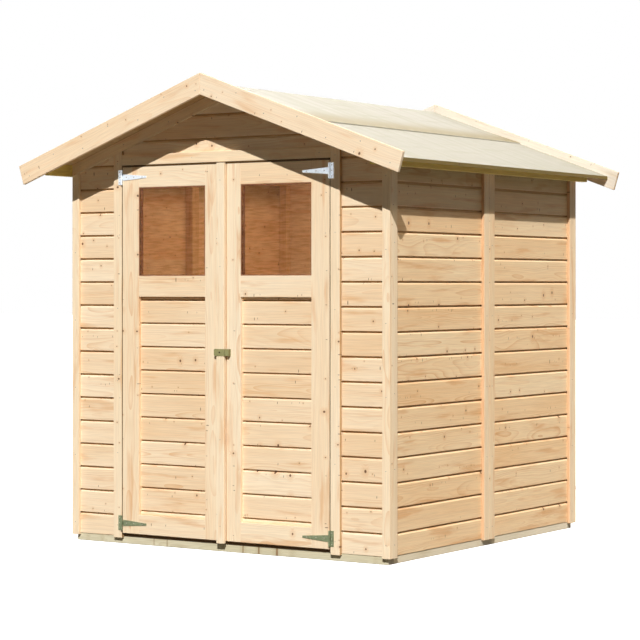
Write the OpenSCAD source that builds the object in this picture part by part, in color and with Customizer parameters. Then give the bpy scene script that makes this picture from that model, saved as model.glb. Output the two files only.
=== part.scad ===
// Wooden garden shed: board walls between flat trims, a ridged roof that
// oversails all round, and a pair of hinged doors with a window each.
// Millimetres. The origin is on the ground under the middle of the walls,
// X runs along the front, the doors face -Y and Z is up.

/* [Walls] */
// Width over the trims, along the front
shed_w = 1800; // [1600:10:2400]
// Depth over the trims
shed_d = 1800; // [1400:10:2400]
// Height of the roof sheets' underside over the side trims' faces
eave_h = 1809.4; // [1809:0.2:2200]
// Thickness of a wall board
board_t = 14; // [10:1:28]
// Thickness of a trim
trim_t = 16; // [10:1:24]
// Width of a corner trim on the front and the back
corner_trim_w = 40; // [30:1:80]
// Width of a trim on the sides and beside the doors
side_trim_w = 50; // [35:1:80]
// How far the trims hang below the walls
trim_drop = 7; // [0:1:20]

/* [Base and frame] */
// Height of the base timbers
base_h = 35; // [25:1:60]
// Width of the base timbers
base_w = 45; // [30:1:70]
// Number of joists under the floor
joist_count = 5; // [3:2:7]
// Thickness of the floor boards
floor_t = 16; // [12:1:28]
// Width of a stud, along the wall
stud_w = 28; // [20:1:45]
// Depth of a stud, into the room
stud_d = 44; // [30:1:60]
// Height of the side walls' top plates at the wall
plate_h = 50; // [30:1:90]

/* [Roof] */
// Slope of the roof in degrees
roof_pitch = 20; // [12:1:24]
// Thickness of a roof sheet
sheet_t = 16; // [10:1:24]
// How far the sheets reach past the side trims
eave_out = 120; // [60:1:180]
// Length of a lower sheet, across the width
lower_sheet_w = 530; // [300:5:560]
// How far the upper sheet's lip lies over the lower sheet
lap_w = 30; // [15:1:60]
// Thickness of the lip
lip_t = 5; // [3:0.5:10]
// Width over which the upper sheet thickens towards its lip
lip_run = 180; // [80:5:260]
// Thickness of an eave purlin
purlin_w = 30; // [20:1:45]
// How far an eave purlin hangs below the roof at the trim
purlin_h = 56; // [35:1:80]
// How far the eave purlins stop short of the rear barge boards
purlin_short = 50; // [0:5:120]
// Height of the ridge beam at its side
ridge_beam_h = 90; // [60:1:140]
// Height of the inner purlins, measured under the laps
inner_purlin_h = 68; // [50:1:110]
// Width of the ridge beam and of the inner purlins
roof_beam_w = 45; // [30:1:60]

/* [Barge boards] */
// Width of a barge board, square to the slope
barge_w = 93; // [60:1:140]
// Thickness of a barge board
barge_t = 18; // [12:1:25]
// How far a barge board stands above the sheets, measured upright
barge_rise = 40; // [10:1:60]
// How far a barge board runs past the sheets at the eave
barge_run = 59; // [20:1:120]
// How far the lower corner of a barge board stands in from the upper one
barge_end_in = 27; // [0:1:60]
// How far the front barge boards stand out from the front trims
front_out = 184; // [60:1:260]
// How far the rear barge boards stand out from the rear trims
rear_out = 136; // [60:1:260]

/* [Doors] */
// Width of the doorway between its side trims
doorway_w = 1184; // [900:2:1300]
// Height of the doorway's head above the ground
doorway_h = 1798.5; // [1500:0.5:1800]
// How far the doorway's middle stands to the right of the shed's middle
doorway_x = -3; // [-60:1:60]
// Thickness of a door
door_t = 30; // [24:1:45]
// Underside of the doors above the ground
door_bottom = 45; // [41:1:60]
// Gap above the doors
head_gap = 10; // [5:0.5:12]
// Gap between a door and the trim beside it
side_gap = 5; // [5:0.5:10]
// Gap between the two doors
meeting_gap = 7; // [7:0.5:12]
// Where the doors meet, to the right of the doorway's middle
meeting_x = 20.5; // [-40:0.5:40]
// Width of a hinge stile
hinge_stile_w = 97; // [60:1:140]
// Width of a window
window_w = 389; // [200:1:420]
// Underside of a window above the ground
window_z = 1273; // [1000:1:1400]
// Height of a window
window_h = 419; // [250:1:430]
// Height of the rail under a window
mid_rail_h = 98; // [60:1:140]
// Height of the bottom rail
bottom_rail_h = 98; // [60:1:160]
// Thickness of a window pane
pane_t = 4; // [3:0.5:6]
// How far the panes lie behind the faces of the doors
pane_in = 4; // [2:0.5:20]
// Width of the strip that covers the joint between the doors
strip_w = 43; // [30:1:60]
// Thickness of the cover strip
strip_t = 15; // [8:1:22]
// How far the cover strip runs past the door, above and below
strip_over = 5; // [0:1:6]

/* [Ironwork] */
// Thickness of the hinge and latch plates
plate_t = 3; // [2:0.5:5]
// Length of a hinge strap from its pin
strap_l = 146; // [90:1:260]
// Height of a hinge strap at its root
strap_root_h = 30; // [20:1:40]
// Height of a hinge strap at its tip
strap_tip_h = 9; // [6:1:20]
// Width of a hinge plate from its pin
hinge_plate_w = 21; // [14:1:40]
// Height of a hinge plate
hinge_plate_h = 70; // [50:1:120]
// Radius of a hinge pin
pin_r = 2; // [1.5:0.1:3]
// Radius of a hinge knuckle
knuckle_r = 4.5; // [4:0.1:6]
// Height of the upper hinges' middle below the doors' tops
upper_hinge_down = 47.5; // [45:1:200]
// Height of the lower hinges' middle above the doors' undersides
lower_hinge_up = 55; // [40:1:200]
// Height of the latch's middle above the ground
latch_z = 920; // [500:1:1200]
// Height of the latch plate and its keeper
latch_h = 32; // [20:1:60]
// Length of the latch plate
latch_l = 60.5; // [45:0.5:100]
// How far the latch plate reaches over the gap between the doors
latch_over = 5.5; // [0:0.5:5.5]
// Length of the keeper
keeper_l = 22; // [12:1:40]

/* [Hidden] */
$fn = 48;
// Faces of neighbouring solids in one node stay this far apart.
joint_gap = 1;
// Sloping faces that rest on each other stay this far apart.
seat_gap = 0.1;
// A hinge's turning knuckle clears the plate and the knuckles beside it by this much.
knuckle_gap = 0.5;
// Radial clearance of a hinge pin.
pin_clearance = 0.08;
// The knuckles stand this far off the doors' faces.
knuckle_off = 1;
// A strap reaches its full height this far past the knuckles beside it.
strap_root_off = 2.5;
// The floor stops this far short of the rear wall, the front wall and the doors.
floor_gap = 5;

half_w = shed_w / 2;
half_d = shed_d / 2;
face_x = half_w - trim_t;
face_y = half_d - trim_t;
room_x = face_x - board_t;
room_y = face_y - board_t;
slope = tan(roof_pitch);
ridge_h = eave_h + slope * half_w;
upright = 1 / cos(roof_pitch);
sheet_h = sheet_t * upright;
eave_x = half_w + eave_out;
lap_x = eave_x - lower_sheet_w;
trim_z = base_h - trim_drop;
floor_z = base_h + floor_t;
gable_trim_h = side_trim_w * upright;
barge_h = barge_w * upright;
barge_x = eave_x + barge_run;
front_y = -half_d - front_out;
rear_y = half_d + rear_out;

door_x0 = doorway_x - doorway_w / 2;
door_x1 = doorway_x + doorway_w / 2;
meet = doorway_x + meeting_x;
door_top = doorway_h - head_gap;
door_front = -half_d;
leaf_left = [door_x0 + side_gap, meet - meeting_gap / 2];
leaf_right = [meet + meeting_gap / 2, door_x1 - side_gap];
window_top = window_z + window_h;
mid_rail_z = window_z - mid_rail_h;
lower_panel_z = door_bottom + bottom_rail_h;
upper_hinge_z = door_top - upper_hinge_down;
lower_hinge_z = door_bottom + lower_hinge_up;
strip_front = door_front - strip_t;
latch_low = latch_z - latch_h / 2;
// The strap's knuckle is a quarter of the plate's height.
strap_neck_h = hinge_plate_h / 4;
pin_y = door_front - knuckle_off - knuckle_r;
pin_left = door_x0 + side_gap / 2;
pin_right = door_x1 - side_gap / 2;

// Height of the roof sheets' underside at a distance from the middle.
function under(x) = ridge_h - slope * abs(x);

// Height there of the sheets' top, and of the top of what carries them.
function over(x) = under(x) + sheet_h;
function bearing(x) = under(x) - seat_gap;

// A box given by its lowest and highest corners.
module block(low, high) {
  translate(low) cube(high - low);
}

// An outline in X and Z, carried from y0 to y1.
module along_y(points, y0, y1) {
  translate([0, y1, 0]) rotate([90, 0, 0]) linear_extrude(y1 - y0) polygon(points);
}

// Its children, and the same again on the other side of X = 0.
module both_sides() {
  children();
  mirror([1, 0, 0]) children();
}

// Its children, and the same again on the other side of Y = 0.
module front_and_back() {
  children();
  mirror([0, 1, 0]) children();
}

// ---- Base ----

module base_joists() {
  reach = face_x - base_w / 2;
  color("tan")
    for (i = [0:joist_count - 1]) {
      x = -reach + 2 * reach * i / (joist_count - 1);
      block([x - base_w / 2, -face_y + base_w, 0], [x + base_w / 2, face_y - base_w, base_h]);
    }
}

module base_end_beams() {
  color("tan")
    front_and_back()
      block([-face_x, -face_y, 0], [face_x, -face_y + base_w, base_h]);
}

module floor_boards() {
  front = max(-room_y, door_front + door_t) + floor_gap;
  color("burlywood")
    block([-room_x, front, base_h], [room_x, room_y - floor_gap, floor_z]);
}

// ---- Walls ----

// A piece of the front wall beside the doorway.
module front_wall(x0, x1) {
  color("wheat")
    block([x0, -face_y, base_h], [x1, -room_y, doorway_h]);
}

// The triangle of boards between the doorway's head and the roof.
module gable(y0, y1) {
  color("wheat")
    along_y([[-face_x, doorway_h], [face_x, doorway_h], [face_x, bearing(face_x)],
             [0, bearing(0)], [-face_x, bearing(face_x)]], y0, y1);
}

module rear_wall() {
  color("wheat")
    block([-face_x, room_y, base_h], [face_x, face_y, doorway_h]);
}

// One of the two elements of a side wall; side is -1 on the left and 1 on the right.
module side_wall(side, y0, y1) {
  color("wheat")
    along_y([[side * room_x, base_h], [side * face_x, base_h],
             [side * face_x, bearing(face_x)], [side * room_x, bearing(room_x)]], y0, y1);
}

// ---- Trims ----

// Height of a gable trim's lower edge.
function gable_trim_low(x) = bearing(x) - gable_trim_h;

// An upright trim on the front, from x0 to x1, cut to the gable trim's slope.
module front_trim(x0, x1) {
  along_y([[x0, trim_z], [x1, trim_z],
           [x1, gable_trim_low(x1) - seat_gap], [x0, gable_trim_low(x0) - seat_gap]],
          -half_d, -face_y);
}

module front_corner_trims() {
  color("moccasin")
    both_sides() front_trim(half_w - corner_trim_w, half_w);
}

module rear_trims() {
  color("moccasin")
    both_sides()
      mirror([0, 1, 0]) {
        front_trim(half_w - corner_trim_w, half_w);
        front_trim(joint_gap / 2, joint_gap / 2 + side_trim_w);
      }
}

module side_wall_trims() {
  color("moccasin")
    front_and_back() {
      block([face_x, -face_y, trim_z], [half_w, -face_y + side_trim_w, bearing(half_w)]);
      block([face_x, -joint_gap / 2 - side_trim_w, trim_z], [half_w, -joint_gap / 2, bearing(half_w)]);
    }
}

module doorway_side_trims() {
  color("moccasin") {
    front_trim(door_x0 - side_trim_w, door_x0);
    front_trim(door_x1, door_x1 + side_trim_w);
  }
}

module doorway_head_trim() {
  color("moccasin")
    block([door_x0, -half_d, doorway_h], [door_x1, -face_y, doorway_h + side_trim_w]);
}

module gable_trims(y0, y1) {
  inner = joint_gap / 2;
  color("moccasin")
    both_sides()
      along_y([[inner, bearing(inner)], [half_w, bearing(half_w)],
               [half_w, gable_trim_low(half_w)], [inner, gable_trim_low(inner)]], y0, y1);
}

// ---- Frame inside the walls ----

module corner_posts() {
  color("burlywood")
    both_sides() front_and_back()
      block([room_x - stud_d, -room_y, floor_z], [room_x, -room_y + stud_d, under(room_x) - plate_h]);
}

module wall_studs() {
  color("burlywood")
    both_sides() front_and_back()
      block([room_x - stud_d, -joint_gap / 2 - stud_w, floor_z],
            [room_x, -joint_gap / 2, under(room_x) - plate_h]);
}

module doorway_posts() {
  color("burlywood") {
    block([door_x0 - stud_w, -room_y, floor_z], [door_x0, -room_y + stud_d, doorway_h]);
    block([door_x1, -room_y, floor_z], [door_x1 + stud_w, -room_y + stud_d, doorway_h]);
  }
}

module top_plates() {
  color("burlywood")
    both_sides()
      along_y([[room_x - stud_d, under(room_x) - plate_h], [room_x, under(room_x) - plate_h],
               [room_x, bearing(room_x)], [room_x - stud_d, bearing(room_x - stud_d)]],
              -room_y, room_y);
}

// ---- Roof ----

// A beam under the right-hand slope, from x0 to x1, with its underside at low.
module slope_beam(x0, x1, low, y0, y1) {
  along_y([[x0, low], [x1, low], [x1, bearing(x1)], [x0, bearing(x0)]], y0, y1);
}

module ridge_beam() {
  side = roof_beam_w / 2;
  color("burlywood")
    along_y([[-side, under(side) - ridge_beam_h], [side, under(side) - ridge_beam_h],
             [side, bearing(side)], [0, bearing(0)], [-side, bearing(side)]], -room_y, room_y);
}

module inner_purlins() {
  color("burlywood")
    both_sides()
      slope_beam(lap_x - roof_beam_w / 2, lap_x + roof_beam_w / 2,
                 under(lap_x) - inner_purlin_h, -room_y, room_y);
}

module eave_purlins() {
  color("darkkhaki")
    both_sides()
      slope_beam(half_w, half_w + purlin_w, under(half_w) - purlin_h,
                 front_y + barge_t, rear_y - barge_t - purlin_short);
}

module roof_lower() {
  color("beige")
    along_y([[lap_x, under(lap_x)], [eave_x, under(eave_x)],
             [eave_x, over(eave_x)], [lap_x, over(lap_x)]],
            front_y + barge_t, rear_y - barge_t);
}

// The upper sheet butts against the lower one and laps it with a thin lip.
module roof_upper() {
  inner = joint_gap / 2;
  lip_x = lap_x + lap_w;
  thick_x = lap_x - lip_run;
  color("beige")
    along_y([[inner, under(inner)], [lap_x, under(lap_x)],
             [lap_x, over(lap_x) + seat_gap], [lip_x, over(lip_x) + seat_gap],
             [lip_x, over(lip_x) + lip_t], [lap_x, over(lap_x) + lip_t],
             [thick_x, over(thick_x)], [inner, over(inner)]],
            front_y + barge_t, rear_y - barge_t);
}

// Two boards that meet under the ridge, seen as an arrow in X and Z.
module barge_boards(y0, y1) {
  inner = joint_gap / 2;
  low_x = barge_x - barge_end_in;
  color("wheat")
    both_sides()
      translate([0, 0, barge_rise])
        along_y([[inner, over(inner)], [barge_x, over(barge_x)],
                 [low_x, over(low_x) - barge_h], [inner, over(inner) - barge_h]], y0, y1);
}

// ---- Hinges ----
// Each is drawn on the right-hand side of a doorway, with its pin on the Z axis
// and the doors' faces at y = knuckle_off + knuckle_r.

module hinge_plate() {
  face = knuckle_off + knuckle_r;
  gap_h = strap_neck_h / 2 + knuckle_gap;
  plate_x = knuckle_r + knuckle_gap;
  for (low = [-hinge_plate_h / 2, gap_h]) {
    translate([0, 0, low]) cylinder(r = knuckle_r, h = hinge_plate_h / 2 - gap_h);
    block([0, 0, low], [plate_x, face, low + hinge_plate_h / 2 - gap_h]);
  }
  translate([0, 0, -hinge_plate_h / 2]) cylinder(r = pin_r, h = hinge_plate_h);
  block([plate_x, face - plate_t, -hinge_plate_h / 2], [hinge_plate_w, face, hinge_plate_h / 2]);
}

module hinge_strap() {
  face = knuckle_off + knuckle_r;
  neck = strap_neck_h / 2;
  root_x = -knuckle_r - strap_root_off;
  difference() {
    union() {
      translate([0, 0, -neck]) cylinder(r = knuckle_r, h = 2 * neck);
      block([-knuckle_r, 0, -neck], [0, face, neck]);
      block([root_x, face - plate_t, -neck], [-knuckle_r, face, neck]);
    }
    translate([0, 0, -neck - 1]) cylinder(r = pin_r + pin_clearance, h = 2 * neck + 2);
  }
  along_y([[root_x, -strap_root_h / 2], [-strap_l, -strap_tip_h / 2],
           [-strap_l, strap_tip_h / 2], [root_x, strap_root_h / 2]], face - plate_t, face);
}

// Its children at the upper and the lower hinge of one side.
module at_hinges(side) {
  for (z = [lower_hinge_z, upper_hinge_z])
    translate([side > 0 ? pin_right : pin_left, pin_y, z])
      scale([side, 1, 1]) children();
}

module hinge_plates() {
  color("lightsteelblue")
    for (side = [-1, 1]) at_hinges(side) hinge_plate();
}

module door_straps(side) {
  color("lightsteelblue") at_hinges(side) hinge_strap();
}

// ---- Doors ----
// A leaf is [x0, x1]; side is -1 where its hinges are on the left and 1 where
// they are on the right.

// The two edges of a leaf's window, in X.
function window_span(leaf, side) =
  side > 0 ? [leaf[1] - hinge_stile_w - window_w, leaf[1] - hinge_stile_w]
           : [leaf[0] + hinge_stile_w, leaf[0] + hinge_stile_w + window_w];

module door_stiles(leaf, side) {
  span = window_span(leaf, side);
  color("moccasin")
    for (x = [[leaf[0], span[0]], [span[1], leaf[1]]])
      block([x[0], door_front, door_bottom], [x[1], door_front + door_t, door_top]);
}

module door_rails(leaf, side) {
  span = window_span(leaf, side);
  color("moccasin")
    for (z = [[door_bottom, lower_panel_z], [mid_rail_z, window_z], [window_top, door_top]])
      block([span[0], door_front, z[0]], [span[1], door_front + door_t, z[1]]);
}

module door_boards(leaf, side) {
  span = window_span(leaf, side);
  color("wheat")
    block([span[0], door_front + door_t - board_t, lower_panel_z],
          [span[1], door_front + door_t, mid_rail_z]);
}

module door_pane(leaf, side) {
  span = window_span(leaf, side);
  pane_front = door_front + pane_in;
  color("peru")
    block([span[0], pane_front, window_z], [span[1], pane_front + pane_t, window_top]);
}

module cover_strip() {
  color("moccasin")
    block([leaf_left[1] - strip_w, strip_front, door_bottom - strip_over],
          [leaf_left[1], door_front, door_top + strip_over]);
}

// The latch plate lies on the cover strip and hangs over both sides of it.
module latch_plate() {
  x1 = leaf_left[1] + latch_over;
  color("darkkhaki")
    block([x1 - latch_l, strip_front - plate_t, latch_low],
          [x1, strip_front, latch_low + latch_h]);
}

// The keeper is an angle: its leg stands on the right door and its front plate
// lies level with the latch plate.
module latch_keeper() {
  x0 = leaf_right[0];
  x1 = x0 + keeper_l;
  color("darkkhaki")
    union() {
      block([x0, strip_front - plate_t, latch_low], [x1, strip_front, latch_low + latch_h]);
      block([x1 - plate_t, strip_front - plate_t, latch_low], [x1, door_front, latch_low + latch_h]);
    }
}

// ---- The nodes ----

base_joists();
base_end_beams();
floor_boards();
front_wall(-face_x, door_x0);  // front_wall_left
front_wall(door_x1, face_x);  // front_wall_right
gable(-face_y, -room_y);  // front_gable
rear_wall();
gable(room_y, face_y);  // rear_gable
side_wall(-1, -room_y, 0);  // left_wall_front
side_wall(-1, 0, room_y);  // left_wall_rear
side_wall(1, -room_y, 0);  // right_wall_front
side_wall(1, 0, room_y);  // right_wall_rear
front_corner_trims();
rear_trims();
mirror([1, 0, 0]) side_wall_trims();  // left_wall_trims
side_wall_trims();  // right_wall_trims
doorway_side_trims();
doorway_head_trim();
gable_trims(-half_d, -face_y);  // front_gable_trims
gable_trims(face_y, half_d);  // rear_gable_trims
corner_posts();
wall_studs();
doorway_posts();
top_plates();
ridge_beam();
inner_purlins();
eave_purlins();
mirror([1, 0, 0]) roof_lower();  // left_roof_lower
mirror([1, 0, 0]) roof_upper();  // left_roof_upper
roof_lower();  // right_roof_lower
roof_upper();  // right_roof_upper
barge_boards(front_y, front_y + barge_t);  // front_barge_boards
barge_boards(rear_y - barge_t, rear_y);  // rear_barge_boards
hinge_plates();
door_stiles(leaf_left, -1);  // left_door_stiles
door_rails(leaf_left, -1);  // left_door_rails
door_boards(leaf_left, -1);  // left_door_boards
door_pane(leaf_left, -1);  // left_door_pane
door_straps(-1);  // left_door_straps
cover_strip();
latch_plate();
door_stiles(leaf_right, 1);  // right_door_stiles
door_rails(leaf_right, 1);  // right_door_rails
door_boards(leaf_right, 1);  // right_door_boards
door_pane(leaf_right, 1);  // right_door_pane
door_straps(1);  // right_door_straps
latch_keeper();
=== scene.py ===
import math
import random

import bmesh
import bpy
from mathutils import Matrix, Vector


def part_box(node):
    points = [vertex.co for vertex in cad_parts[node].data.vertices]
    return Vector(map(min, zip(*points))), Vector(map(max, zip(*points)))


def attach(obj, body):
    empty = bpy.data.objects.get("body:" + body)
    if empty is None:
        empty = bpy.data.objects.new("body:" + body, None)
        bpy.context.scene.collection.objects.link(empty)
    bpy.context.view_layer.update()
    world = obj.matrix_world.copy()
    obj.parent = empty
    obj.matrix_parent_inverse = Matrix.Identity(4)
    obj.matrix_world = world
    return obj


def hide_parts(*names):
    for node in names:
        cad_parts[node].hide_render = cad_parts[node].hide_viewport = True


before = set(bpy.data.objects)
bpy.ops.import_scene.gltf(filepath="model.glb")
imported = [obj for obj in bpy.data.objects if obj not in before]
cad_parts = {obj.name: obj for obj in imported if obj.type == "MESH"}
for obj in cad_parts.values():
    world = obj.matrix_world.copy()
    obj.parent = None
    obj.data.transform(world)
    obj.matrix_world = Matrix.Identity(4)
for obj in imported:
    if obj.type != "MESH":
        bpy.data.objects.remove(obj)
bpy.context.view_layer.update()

# The ground frame. Five sawn joists run from front to back between two end beams, all in
# pressure-treated softwood 45 x 35 mm that has weathered to a greyish cream. They lie on
# the ground and the floor is nailed down to them.
saw_marks = random.Random(41)
shed_middle = Vector((0.0, 0.0, 1.0))
base_arris = 0.0025
base_inset = 0.003
hair = 0.0001
weld_distance = 0.00002
flat_angle = math.radians(0.5)
sharp_angle = 0.5
log_length = 60.0
pith_aside = 0.05
pith_depths = (0.02, 0.09)
rings_per_metre = 210.0
knot_sizes = (0.022, 0.09)
dash_sizes = (0.055, 0.15)
dash_share = 0.08
fibre_relief = 0.0004


def paint(red, green, blue):
    """A colour given as 0 to 255, as the linear value that the shaders want."""
    linear = []
    for part in (red, green, blue):
        share = part / 255
        linear.append(share / 12.92 if share <= 0.04045 else ((share + 0.055) / 1.055) ** 2.4)
    return (*linear, 1.0)


def sawn(*nodes):
    """The solids of those parts as one clean mesh with whole faces."""
    timber = bmesh.new()
    for node in nodes:
        before = set(timber.verts)
        timber.from_mesh(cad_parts[node].data)
        new = [vert for vert in timber.verts if vert not in before]
        bmesh.ops.remove_doubles(timber, verts=new, dist=weld_distance)
    bmesh.ops.dissolve_limit(
        timber, angle_limit=flat_angle, verts=timber.verts[:], edges=timber.edges[:]
    )
    for face in timber.faces:
        face.smooth = False
    return timber


def arrised(timber, width, segments=2):
    """Takes the sharp edges off with a plane."""
    sharp = [
        edge for edge in timber.edges
        if edge.is_manifold and edge.calc_face_angle(0.0) > sharp_angle
    ]
    bmesh.ops.bevel(
        timber,
        geom=sharp,
        offset=width,
        offset_type="OFFSET",
        affect="EDGES",
        segments=segments,
        profile=0.5,
        material=-1,
        clamp_overlap=True,
    )
    return timber


def settled(size, spot):
    """A size to compare by, with a place that settles a tie in the same way every time."""
    return (size, *(round(part, 5) for part in spot))


def sticks(timber):
    """Each separate length of timber as (verts, middle, along, across, out, size)."""
    found = []
    seen = set()
    for start in timber.verts:
        if start in seen:
            continue
        seen.add(start)
        stick = [start]
        for vert in stick:
            for edge in vert.link_edges:
                other = edge.other_vert(vert)
                if other not in seen:
                    seen.add(other)
                    stick.append(other)
        edges = {edge for vert in stick for edge in vert.link_edges}
        faces = {face for vert in stick for face in vert.link_faces}
        longest = max(
            edges,
            key=lambda edge: settled(
                round(edge.calc_length(), 5), edge.verts[0].co + edge.verts[1].co
            ),
        )
        along = (longest.verts[1].co - longest.verts[0].co).normalized()
        if along.x + along.y + along.z < 0:
            along.negate()
        widest = max(
            faces,
            key=lambda face: settled(round(face.calc_area(), 6), face.calc_center_median()),
        )
        out = widest.normal.copy()
        across = out.cross(along).normalized()
        out = along.cross(across).normalized()
        middle = Vector((0.0, 0.0, 0.0))
        size = []
        for way in (along, across, out):
            reach = [vert.co.dot(way) for vert in stick]
            middle += way * (min(reach) + max(reach)) / 2
            size.append(max(reach) - min(reach))
        if out.dot(middle - shed_middle) < 0:
            out.negate()
            across.negate()
        found.append((stick, middle, along, across, out, size))
    return found


def lay_grain(timber):
    """Gives each length its own place in a log, so that its figure runs along it."""
    grain = timber.verts.layers.float_vector.new("grain")
    tone = timber.verts.layers.float.new("tone")
    for stick, middle, along, across, out, size in sticks(timber):
        start = saw_marks.uniform(0.0, log_length)
        pith_across = saw_marks.uniform(-pith_aside, pith_aside)
        pith_out = saw_marks.uniform(*pith_depths) * saw_marks.choice((-1, 1))
        shade = saw_marks.random()
        for vert in stick:
            place = vert.co - middle
            vert[grain] = (
                place.dot(along) + start,
                place.dot(across) + pith_across,
                place.dot(out) + pith_out,
            )
            vert[tone] = shade


def face_finish(mesh, axis, number):
    """Gives the faces that look either way along an axis another of the piece's finishes."""
    for face in mesh.faces:
        face.material_index = number if abs(face.normal[axis]) > 0.5 else 0


def piece(name, mesh, body, slot, finishes, *nodes):
    """Finishes a mesh as a named piece that rides on a body and stands for those parts."""
    data = bpy.data.meshes.new(name)
    mesh.to_mesh(data)
    mesh.free()
    for finish in finishes if isinstance(finishes, tuple) else (finishes,):
        data.materials.append(finish)
    thing = bpy.data.objects.new(name, data)
    bpy.context.scene.collection.objects.link(thing)
    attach(thing, body)
    if nodes:
        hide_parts(*nodes)


def timber_piece(name, timber, body, slot, finishes, *nodes):
    """A piece of timber, with its grain laid along each length."""
    lay_grain(timber)
    piece(name, timber, body, slot, finishes, *nodes)


def new_finish(name):
    """A bare finish: its material, its nodes and its shader."""
    material = bpy.data.materials.new(name)
    material.use_nodes = True
    tree = material.node_tree
    return material, tree, tree.nodes["Principled BSDF"]


def feed(tree, socket, given):
    """Sets a socket to a number or a colour, or links it to what another node puts out."""
    if isinstance(given, bpy.types.NodeSocket):
        tree.links.new(given, socket)
    else:
        socket.default_value = given


def work(tree, operation, *values):
    """One sum of a recipe, fed by sockets or plain numbers."""
    step = tree.nodes.new("ShaderNodeMath")
    step.operation = operation
    for socket, value in zip(step.inputs, values):
        feed(tree, socket, value)
    return step.outputs[0]


def stretch(tree, vector, by):
    """The same place, stretched or squeezed along each direction."""
    step = tree.nodes.new("ShaderNodeVectorMath")
    step.operation = "MULTIPLY"
    tree.links.new(vector, step.inputs[0])
    step.inputs[1].default_value = by
    return step.outputs[0]


def cloud(tree, vector, scale=1.0, detail=2.0, output="Fac"):
    """Soft uneven noise, at so many lumps to the metre."""
    step = tree.nodes.new("ShaderNodeTexNoise")
    tree.links.new(vector, step.inputs["Vector"])
    step.inputs["Scale"].default_value = scale
    step.inputs["Detail"].default_value = detail
    return step.outputs[output]


def fade(tree, value, start, end, low=0.0, high=1.0):
    """A smooth change from low to high while the value goes from start to end."""
    step = tree.nodes.new("ShaderNodeMapRange")
    step.interpolation_type = "SMOOTHSTEP"
    for name, given in (
        ("Value", value), ("From Min", start), ("From Max", end), ("To Min", low), ("To Max", high)
    ):
        feed(tree, step.inputs[name], given)
    return step.outputs["Result"]


def stain(tree, amount, under, over, way="MIX"):
    """One colour laid over another by an amount."""
    step = tree.nodes.new("ShaderNodeMix")
    step.data_type = "RGBA"
    step.blend_type = way
    for number, given in ((0, amount), (6, under), (7, over)):
        feed(tree, step.inputs[number], given)
    return step.outputs[2]


def shed_place(tree):
    """Each point's place on the shed."""
    return tree.nodes.new("ShaderNodeTexCoord").outputs["Object"]


def split_place(tree, vector):
    """A place's X, Y and Z, apart."""
    step = tree.nodes.new("ShaderNodeSeparateXYZ")
    tree.links.new(vector, step.inputs[0])
    return step.outputs


def relief(tree, shader, height, depth, strength):
    """Makes a surface catch the light as if it were raised by a height."""
    skin = tree.nodes.new("ShaderNodeBump")
    skin.inputs["Distance"].default_value = depth
    skin.inputs["Strength"].default_value = strength
    tree.links.new(height, skin.inputs["Height"])
    tree.links.new(skin.outputs["Normal"], shader.inputs["Normal"])


def spots(tree, vector, share, small, large):
    """Scattered spots, only in a share of the cells: how far from each and how big it is."""
    step = tree.nodes.new("ShaderNodeTexVoronoi")
    step.voronoi_dimensions = "2D"
    tree.links.new(vector, step.inputs["Vector"])
    step.inputs["Scale"].default_value = 1.0
    step.inputs["Randomness"].default_value = 0.9
    split = tree.nodes.new("ShaderNodeSeparateColor")
    tree.links.new(step.outputs["Color"], split.inputs["Color"])
    share_of_size = work(tree, "POWER", split.outputs["Red"], 3.5)
    size = work(tree, "MULTIPLY_ADD", share_of_size, large - small, small)
    kept = work(tree, "LESS_THAN", split.outputs["Green"], share)
    return step.outputs["Distance"], size, kept


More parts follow.
